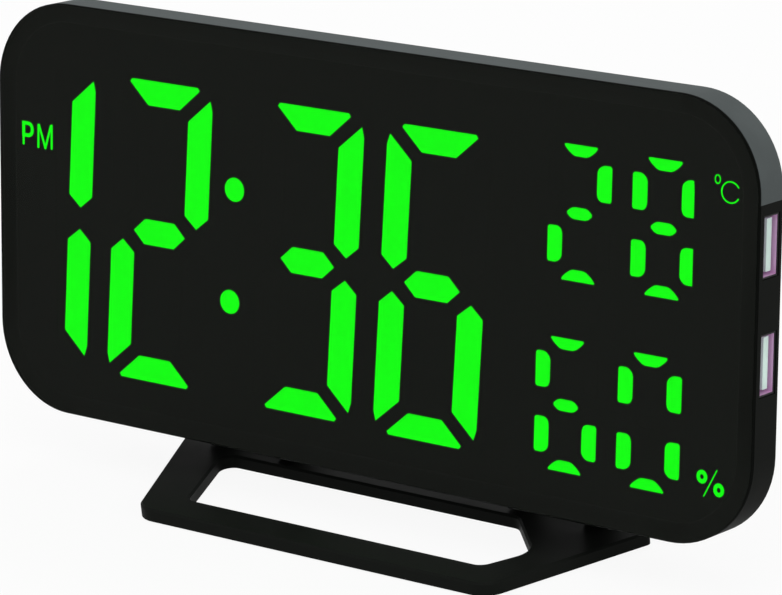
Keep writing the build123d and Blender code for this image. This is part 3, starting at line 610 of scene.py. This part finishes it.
def flat_stroke(name, start, end, width):
    """A flat stroke with softened corners from one point to another."""
    run = Vector(end) - Vector(start)
    bpy.ops.mesh.primitive_plane_add(size=1)
    stroke = new_piece(name)
    stroke.scale = (run.length, width, 1)
    bpy.ops.object.transform_apply(scale=True)
    edit(stroke, "VERT")
    bpy.ops.mesh.select_all(action="SELECT")
    bpy.ops.mesh.bevel(affect="VERTICES", offset=width / 3, segments=3)
    end_edit()
    middle = (Vector(start) + Vector(end)) / 2
    turn = Matrix.Rotation(-Vector((1, 0)).angle_signed(run), 4, "Z")
    fix_place(stroke, Matrix.Translation((middle.x, middle.y, 0)) @ turn)
    return stroke


def flat_plus(name, reach, width):
    """A flat plus about the origin: a square with an arm drawn out of each of its sides."""
    bpy.ops.mesh.primitive_plane_add(size=width)
    plus = new_piece(name)
    for side in ((1, 0, 0), (-1, 0, 0), (0, 1, 0), (0, -1, 0)):
        direction = Vector(side)
        edit(plus, "EDGE")
        bpy.ops.mesh.select_all(action="DESELECT")
        end_edit()
        points = plus.data.vertices
        for edge in plus.data.edges:
            middle = (points[edge.vertices[0]].co + points[edge.vertices[1]].co) / 2
            edge.select = (middle - direction * width / 2).length < width / 100
        bpy.ops.object.mode_set(mode="EDIT")
        arm = direction * (reach - width / 2)
        bpy.ops.mesh.extrude_region_move(TRANSFORM_OT_translate={"value": arm})
        end_edit()
    return plus


def flat_bowl(name, low, high, width):
    """A flat band round a field with its two right-hand corners rounded, as in the bowl of a P."""
    size = high - low
    corner_share = 0.46
    bpy.ops.mesh.primitive_plane_add(size=1)
    bowl = new_piece(name)
    bowl.scale = (size.x, size.y, 1)
    bpy.ops.object.transform_apply(scale=True)
    edit(bowl, "VERT")
    bpy.ops.mesh.select_all(action="DESELECT")
    end_edit()
    for vertex in bowl.data.vertices:
        vertex.select = vertex.co.x > 0
    bpy.ops.object.mode_set(mode="EDIT")
    bpy.ops.mesh.bevel(affect="VERTICES", offset=size.y * corner_share, segments=CORNER_STEPS)
    bpy.ops.mesh.select_mode(type="FACE")
    bpy.ops.mesh.select_all(action="SELECT")
    bpy.ops.mesh.inset(thickness=width)
    bpy.ops.mesh.delete(type="FACE")
    end_edit()
    fix_place(bowl, Matrix.Translation(((low + high) / 2).to_3d()))
    return bowl


def unite_strokes(name, first, *others):
    """Make one closed mark of flat strokes that cross."""
    thicken(first, PRINT_THICKNESS)
    for stroke in others:
        thicken(stroke, PRINT_THICKNESS)
        cut(first, stroke, "UNION")
    choose(first)
    return new_piece(name)


class CLOCK_OT_add_marks(Operator):
    """Add the lit marks for the afternoon, for degrees Celsius and for per cent"""

    bl_idname = "clock.add_marks"
    bl_label = "Add the Marks"
    bl_options = {"REGISTER", "UNDO"}

    def execute(self, context):
        colours, sizes = context.scene.clock_colours, context.scene.clock_marks
        glow = glowing_window("lit_mark", colours)

        # Afternoon mark: its points are shares of its width and height
        corner = Vector((sizes.afternoon_left, sizes.afternoon_bottom))
        span = Vector((sizes.afternoon_right, sizes.afternoon_top)) - corner

        def at(across, up):
            return corner + Vector((across, up)) * span

        def stroke(start, end):
            return flat_stroke("afternoon_stroke", at(*start), at(*end), sizes.afternoon_stroke)

        bowl_width = 1.5 * sizes.afternoon_stroke
        bowl = flat_bowl("afternoon_bowl", at(0, 0.36), at(0.375, 0.975), bowl_width)
        first_letter = unite_strokes("afternoon_p", bowl, stroke((0.04, 0.04), (0.04, 0.95)))
        second_letter = unite_strokes(
            "afternoon_m",
            stroke((0.527, 0), (0.533, 0.95)),
            stroke((0.545, 0.95), (0.765, 0)),
            stroke((0.745, 0), (0.95, 0.98)),
            stroke((0.962, 0.02), (0.968, 1)),
        )
        afternoon = join("afternoon_mark", first_letter, second_letter)

        # Temperature mark: a narrow degree ring, and a round letter open to the right
        degree_place, degree_width = (0.092, 0.03075, 0), 0.72 * sizes.degree_radius
        celsius_place, celsius_opening = (0.0952, 0.0284, 0), radians(56)
        degree = flat_ring("degree_ring", 1 - sizes.stroke / sizes.degree_radius)
        narrow = Matrix.Diagonal((degree_width, sizes.degree_radius, 1, 1))
        fix_place(degree, Matrix.Translation(degree_place) @ narrow)
        letter_hole = 1 - sizes.stroke / sizes.celsius_radius
        celsius = flat_ring("celsius_letter", letter_hole, celsius_opening)
        round_size = Matrix.Scale(sizes.celsius_radius, 4)
        fix_place(celsius, Matrix.Translation(celsius_place) @ round_size)
        temperature = join("celsius_mark", degree, celsius)

        # Per cent mark: two bold rings, a little taller than wide, and a thin slash
        ring_hole = 0.36
        ring_width, ring_height = 0.94 * sizes.percent_radius, 1.05 * sizes.percent_radius
        slash_foot, slash_top = (0.0905, -0.0365), (0.0937, -0.03025)
        slash_width = 0.85 * sizes.stroke
        tall = Matrix.Diagonal((ring_width, ring_height, 1, 1))
        rings = []
        for place in ((0.09, -0.0323, 0), (0.0942, -0.0345, 0)):
            ring = flat_ring("percent_ring", ring_hole)
            fix_place(ring, Matrix.Translation(place) @ tall)
            rings.append(ring)
        slash = flat_stroke("percent_slash", slash_foot, slash_top, slash_width)
        percent = join("percent_mark", *rings, slash)

        thicken(temperature, PRINT_THICKNESS)
        thicken(percent, PRINT_THICKNESS)
        for mark in (afternoon, temperature, percent):
            fix_place(mark, FACE @ Matrix.Translation((0, MARK_DEPTH, 0)) @ TOWARDS_VIEWER)
            finish_piece(mark, glow, HOUSING)
        return {"FINISHED"}


class CLOCK_OT_dress_housing(Operator):
    """Give the frame, the rear housing, the battery door and the trim their finish"""

    bl_idname = "clock.dress_housing"
    bl_label = "Dress the Housing"
    bl_options = {"REGISTER", "UNDO"}

    def execute(self, context):
        colours = context.scene.clock_colours
        give(moulded_plastic("frame_black", colours.frame, 0.5, specular=0.018), "bezel_frame")
        black = moulded_plastic(
            "housing_black", colours.housing, 0.48, grain=0.0006, relief=0.00008, specular=0.2
        )
        give(black, "rear_housing", "battery_door")
        # The band over the top is grey partly as a grey part and partly as a painted highlight of
        # the light on its top
        grey = moulded_plastic("trim_grey_and_sheen", colours.trim, 0.5, relief=0.00001, specular=0.006)
        give(grey, "top_trim")
        return {"FINISHED"}


class CLOCK_OT_dress_sockets(Operator):
    """Give the charging sockets their finish, and add the spring leaves inside their shells"""

    bl_idname = "clock.dress_sockets"
    bl_label = "Dress the Sockets"
    bl_options = {"REGISTER", "UNDO"}

    def execute(self, context):
        colours = context.scene.clock_colours
        # The shells' steel this deep at their mouths is painted dark as shade, and inside them
        # painted bright as light
        shaded_rim_depth = 0.0004
        steel = socket_steel_and_painted_light("socket_steel_and_painted_light", colours, lens_high.x - shaded_rim_depth)
        give(steel, "upper_usb_shell", "lower_usb_shell")
        give(moulded_plastic("tongue_plastic", colours.tongue, 0.5), "usb_tongues")
        brass = brushed_steel("contact_brass", colours.brass, 0.3, (6, 1, 1))
        give(brass, "usb_contacts", "power_jack_pin")

        # Two spring leaves lie against the front wall of each shell. The inner end of each is
        # bent into the socket by its lift, and is narrower by its taper
        leaf_length, leaf_width, leaf_thickness = 0.0045, 0.0016, 0.00015
        leaf_lift, leaf_taper = 0.00035, 0.7
        shell_wall, leaf_setback, leaf_apart = 0.0003, 0.0022, 0.0058
        leaves = []
        for shell in ("upper_usb_shell", "lower_usb_shell"):
            low, high = face_box(shell)
            middle = (low.z + high.z) / 2
            for side in (-1, 1):
                bpy.ops.mesh.primitive_cube_add(size=1)
                leaf = new_piece("socket_spring_leaf")
                leaf.scale = (leaf_length, leaf_thickness, leaf_width)
                bpy.ops.object.transform_apply(scale=True)
                select_faces(leaf, lambda face: face.normal.x < -0.9)
                bpy.ops.transform.translate(value=(0, leaf_lift, 0))
                bpy.ops.transform.resize(value=(1, 1, leaf_taper))
                end_edit()
                place = (
                    high.x - leaf_setback - leaf_length / 2,
                    low.y + shell_wall + leaf_thickness / 2,
                    middle + side * leaf_apart / 2,
                )
                fix_place(leaf, FACE @ Matrix.Translation(place))
                leaves.append(leaf)
        springs = join("socket_spring_leaves", *leaves)
        finish_piece(springs, steel, HOUSING)
        return {"FINISHED"}


def cross_screw(radius, height):
    """A screw head with a softened rim and a cross recess, standing on the origin and facing up."""
    rim_width, crown_height, softening = 0.12 * radius, 0.12 * height, 0.06 * radius
    arm_length, arm_width, arm_height = 1.1 * radius, 0.24 * radius, 0.7 * height
    arm_middle, foot_length, foot_width = 0.8 * height, 0.5, 0.7
    bpy.ops.mesh.primitive_cylinder_add(
        vertices=40, radius=radius, depth=height, location=(0, 0, height / 2)
    )
    head = new_piece("screw_head")
    bpy.ops.object.transform_apply(location=True)
    select_faces(head, lambda face: face.normal.z > 0.9)
    bpy.ops.mesh.inset(thickness=rim_width)
    bpy.ops.transform.translate(value=(0, 0, crown_height))
    end_edit()
    select_faces(head, lambda face: face.normal.z > 0.98 and face.center.z > height)
    bpy.ops.mesh.bevel(offset=softening, segments=2, affect="EDGES")
    end_edit()
    for angle in (0, 90):
        bpy.ops.mesh.primitive_cube_add(size=1)
        arm = new_piece("recess_arm")
        arm.scale = (arm_length, arm_width, arm_height)
        bpy.ops.object.transform_apply(scale=True)
        # The recess narrows downwards
        select_faces(arm, lambda face: face.normal.z < -0.9)
        bpy.ops.transform.resize(value=(foot_length, foot_width, 1))
        end_edit()
        turn = Matrix.Rotation(radians(angle), 4, "Z")
        fix_place(arm, Matrix.Translation((0, 0, arm_middle)) @ turn)
        cut(head, arm)
    smooth(head)
    return head


class CLOCK_OT_add_screws(Operator):
    """Add cross-head screws to the rear housing in place of the plain ones"""

    bl_idname = "clock.add_screws"
    bl_label = "Add the Screws"
    bl_options = {"REGISTER", "UNDO"}

    def execute(self, context):
        steel = brushed_steel("screw_steel", context.scene.clock_colours.screw, 0.35)
        head_radius, head_height, crown = 0.0022, 0.001, 0.00012
        low, high = face_box("housing_screws")
        model = cross_screw(head_radius, head_height - crown)
        screws = []
        # No two screws were driven home at the same angle
        angles = (20, 67, 41, 8)
        corners = [(across, up) for across in (low.x, high.x) for up in (low.z, high.z)]
        for angle, (across, up) in zip(angles, corners):
            inwards_x = -head_radius if across > 0 else head_radius
            inwards_z = -head_radius if up > 0 else head_radius
            screw = copy_of(model, "cross_screw")
            place = (across + inwards_x, high.y - head_height, up + inwards_z)
            turn = Matrix.Rotation(radians(angle), 4, "Z")
            fix_place(screw, FACE @ Matrix.Translation(place) @ TOWARDS_BACK @ turn)
            screws.append(screw)
        bpy.data.objects.remove(model)
        heads = join("housing_screw_heads", *screws)
        finish_piece(heads, steel, HOUSING)
        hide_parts("housing_screws")
        give(steel, "board_screws", "key_board_screws", "hinge_pins")
        return {"FINISHED"}


class CLOCK_OT_dress_buttons(Operator):
    """Give the buttons their finish and their raised signs"""

    bl_idname = "clock.dress_buttons"
    bl_label = "Dress the Buttons"
    bl_options = {"REGISTER", "UNDO"}

    def execute(self, context):
        colours = context.scene.clock_colours
        give(moulded_plastic("button_black", colours.button, 0.42), *BUTTONS)
        paint = moulded_plastic("sign_paint", colours.sign, 0.6)
        sign_radius, sign_stroke, sign_height = 0.0015, 0.00045, 0.00008
        ring_radius = 0.8 * sign_radius
        ring_holes = {"mode_button": 0.7, "set_button": 0.45, "light_button": 0.01}
        for button in BUTTONS:
            low, high = face_box(button)
            if button == "plus_button":
                sign = flat_plus("sign", sign_radius, sign_stroke)
            elif button == "minus_button":
                sign = flat_stroke("sign", (-sign_radius, 0), (sign_radius, 0), sign_stroke)
            else:
                sign = flat_ring("sign", ring_holes[button])
                fix_place(sign, Matrix.Scale(ring_radius, 4))
            thicken(sign, sign_height)
            # A quarter of the sign's height is sunk in the button
            place = ((low.x + high.x) / 2, high.y + sign_height / 4, (low.z + high.z) / 2)
            fix_place(sign, FACE @ Matrix.Translation(place) @ TOWARDS_BACK)
            sign.name = sign.data.name = f"{button}_sign"
            finish_piece(sign, paint, button)
        return {"FINISHED"}


class CLOCK_OT_dress_stand(Operator):
    """Give the ring stand, its hinge and its pads their finish"""

    bl_idname = "clock.dress_stand"
    bl_label = "Dress the Stand"
    bl_options = {"REGISTER", "UNDO"}

    def execute(self, context):
        colours = context.scene.clock_colours
        give(moulded_plastic("stand_black", colours.stand, 0.5, specular=0.025), "stand_ring")
        rubber = moulded_plastic("pad_rubber", (0.018, 0.018, 0.018), 0.85, grain=0.0002)
        give(rubber, "stand_pads")
        give(moulded_plastic("washer_plastic", (0.03, 0.03, 0.03), 0.5), "hinge_washers")
        return {"FINISHED"}


class CLOCK_OT_dress_inside(Operator):
    """Give the boards, the chips, the cell and the jack their finish"""

    bl_idname = "clock.dress_inside"
    bl_label = "Dress the Inside"
    bl_options = {"REGISTER", "UNDO"}

    def execute(self, context):
        colours = context.scene.clock_colours
        green = moulded_plastic("solder_mask", colours.board, 0.35, grain=0.002)
        give(green, "display_board", "key_board", "usb_board")
        resin = moulded_plastic("chip_resin", (0.015, 0.015, 0.016), 0.6, grain=0.0002)
        give(resin, "control_chips", "power_parts", "key_switches", "buzzer", "power_jack")
        give(moulded_plastic("led_body", (0.75, 0.77, 0.62), 0.4), "led_chips")
        give(moulded_plastic("sensor_white", (0.72, 0.75, 0.76), 0.55), "climate_sensor")
        ribbon = moulded_plastic("ribbon_grey", (0.36, 0.37, 0.38), 0.5, grain=0.001)
        give(ribbon, "ribbon_cable")
        steel = brushed_steel("cell_steel", (0.62, 0.62, 0.63), 0.28)
        give(steel, "coin_cell", "cell_contact_minus", "cell_contact_plus", "quartz_crystal")
        return {"FINISHED"}


def add_lamp(name, place, aim, width, power):
    """A square area lamp at one place, aimed at another."""
    light = bpy.data.lights.new(name, "AREA")
    light.size = width
    light.energy = power
    lamp = bpy.data.objects.new(name, light)
    bpy.context.scene.collection.objects.link(lamp)
    lamp.location = place
    lamp.rotation_euler = (Vector(aim) - Vector(place)).to_track_quat("-Z", "Y").to_euler()


def seen_directly(tree):
    """1 where the camera, a reflection or a see-through part looks at it, and 0 for its light."""
    path = tree.nodes.new("ShaderNodeLightPath")
    seen = add_math(tree, "MAXIMUM", path.outputs["Is Camera Ray"], path.outputs["Is Glossy Ray"])
    return add_math(tree, "MAXIMUM", seen, path.outputs["Is Transmission Ray"])


def mix_shaders(tree, share, first, second, surface):
    """Show the first shader where the share is 0 and the second where it is 1."""
    mix = tree.nodes.new("ShaderNodeMixShader")
    tree.links.new(share, mix.inputs["Fac"])
    tree.links.new(first, mix.inputs[1])
    tree.links.new(second, mix.inputs[2])
    tree.links.new(mix.outputs["Shader"], surface)


class CLOCK_OT_add_stage(Operator):
    """Add the pale floor, the soft light and the camera"""

    bl_idname = "clock.add_stage"
    bl_label = "Add the Stage"
    bl_options = {"REGISTER", "UNDO"}

    def execute(self, context):
        sizes = context.scene.clock_stage

        # Floor: mostly its own white, so that only a faint shadow shows
        deselect_all()
        bpy.ops.mesh.primitive_plane_add(size=2 * sizes.floor_half)
        floor = new_piece("floor")
        white = bpy.data.materials.new("floor_white")
        white.use_nodes = True
        tree = white.node_tree
        tree.nodes.remove(tree.nodes["Principled BSDF"])
        diffuse = tree.nodes.new("ShaderNodeBsdfDiffuse")
        diffuse.inputs["Color"].default_value = (0.8, 0.8, 0.8, 1)
        glow = tree.nodes.new("ShaderNodeEmission")
        share = add_math(tree, "MULTIPLY", seen_directly(tree), sizes.floor_glow)
        surface = tree.nodes["Material Output"].inputs["Surface"]
        mix_shaders(tree, share, diffuse.outputs["BSDF"], glow.outputs["Emission"], surface)
        floor.data.materials.append(white)

        # Sky: white to look at, and an even soft light
        world = bpy.data.worlds.new("studio")
        world.use_nodes = True
        tree = world.node_tree
        light = tree.nodes["Background"]
        light.inputs["Color"].default_value = (1, 1, 1, 1)
        light.inputs["Strength"].default_value = sizes.sky
        backdrop = tree.nodes.new("ShaderNodeBackground")
        backdrop.inputs["Color"].default_value = (1, 1, 1, 1)
        seen = seen_directly(tree)
        surface = tree.nodes["World Output"].inputs["Surface"]
        mix_shaders(
            tree, seen, light.outputs["Background"], backdrop.outputs["Background"], surface
        )
        context.scene.world = world

        # Lamps: each has its place, its width and its power
        for name, place, width, power in (
            ("key_lamp", (0.2, -0.4, 1.3), 0.9, sizes.key_power),
            ("fill_lamp", (1.3, -0.2, 0.7), 0.8, sizes.fill_power),
            ("back_lamp", (-0.4, 0.8, 1.1), 0.5, sizes.back_power),
        ):
            add_lamp(name, place, FACE.translation, width, power)

        # Camera: right and up follow the face. It is rolled, and stood back along its line of sight
        line = Vector(
            (
                sin(sizes.azimuth) * cos(sizes.elevation),
                -cos(sizes.azimuth) * cos(sizes.elevation),
                sin(sizes.elevation),
            )
        )
        right = Vector((cos(sizes.azimuth), sin(sizes.azimuth), 0))
        up = line.cross(right)
        roll = Matrix.Rotation(sizes.roll, 3, line)
        right, up = roll @ right, roll @ up
        place = right * sizes.aim_right + up * sizes.aim_up + line * sizes.distance
        turn = Matrix((right, up, line)).transposed().to_4x4()
        camera_data = bpy.data.cameras.new("camera")
        # Blender keeps a lens and a sensor in millimetres
        camera_data.lens = sizes.focal_length * 1000
        camera_data.sensor_width = 36
        camera = bpy.data.objects.new("camera", camera_data)
        context.scene.collection.objects.link(camera)
        camera.matrix_world = FACE @ Matrix.Translation(place) @ turn
        context.scene.camera = camera
        context.scene.view_settings.view_transform = "Standard"
        return {"FINISHED"}


OPERATORS = (
    CLOCK_OT_dress_lens,
    CLOCK_OT_dress_figures,
    CLOCK_OT_add_marks,
    CLOCK_OT_dress_housing,
    CLOCK_OT_dress_sockets,
    CLOCK_OT_add_screws,
    CLOCK_OT_dress_buttons,
    CLOCK_OT_dress_stand,
    CLOCK_OT_dress_inside,
    CLOCK_OT_add_stage,
)


class CLOCK_PT_finish(Panel):
    """Lists the clock's finishing steps"""

    bl_idname = "CLOCK_PT_finish"
    bl_label = "Clock Finish"
    bl_space_type = "VIEW_3D"
    bl_region_type = "UI"
    bl_category = "Clock"

    def draw(self, context):
        scene = context.scene
        for settings in (scene.clock_colours, scene.clock_marks, scene.clock_stage):
            box = self.layout.box()
            for name in settings.__annotations__:
                box.prop(settings, name)
        for operator in OPERATORS:
            self.layout.operator(operator.bl_idname)


CLASSES = (ClockColours, MarkSizes, StageSizes, *OPERATORS, CLOCK_PT_finish)


def register():
    for cls in CLASSES:
        bpy.utils.register_class(cls)
    bpy.types.Scene.clock_colours = PointerProperty(type=ClockColours)
    bpy.types.Scene.clock_marks = PointerProperty(type=MarkSizes)
    bpy.types.Scene.clock_stage = PointerProperty(type=StageSizes)


def unregister():
    del bpy.types.Scene.clock_stage
    del bpy.types.Scene.clock_marks
    del bpy.types.Scene.clock_colours
    for cls in reversed(CLASSES):
        bpy.utils.unregister_class(cls)


def main():
    register()
    bpy.ops.clock.dress_lens()
    bpy.ops.clock.dress_figures()
    bpy.ops.clock.add_marks()
    bpy.ops.clock.dress_housing()
    bpy.ops.clock.dress_sockets()
    bpy.ops.clock.add_screws()
    bpy.ops.clock.dress_buttons()
    bpy.ops.clock.dress_stand()
    bpy.ops.clock.dress_inside()
    bpy.ops.clock.add_stage()


if __name__ == "__main__":
    main()
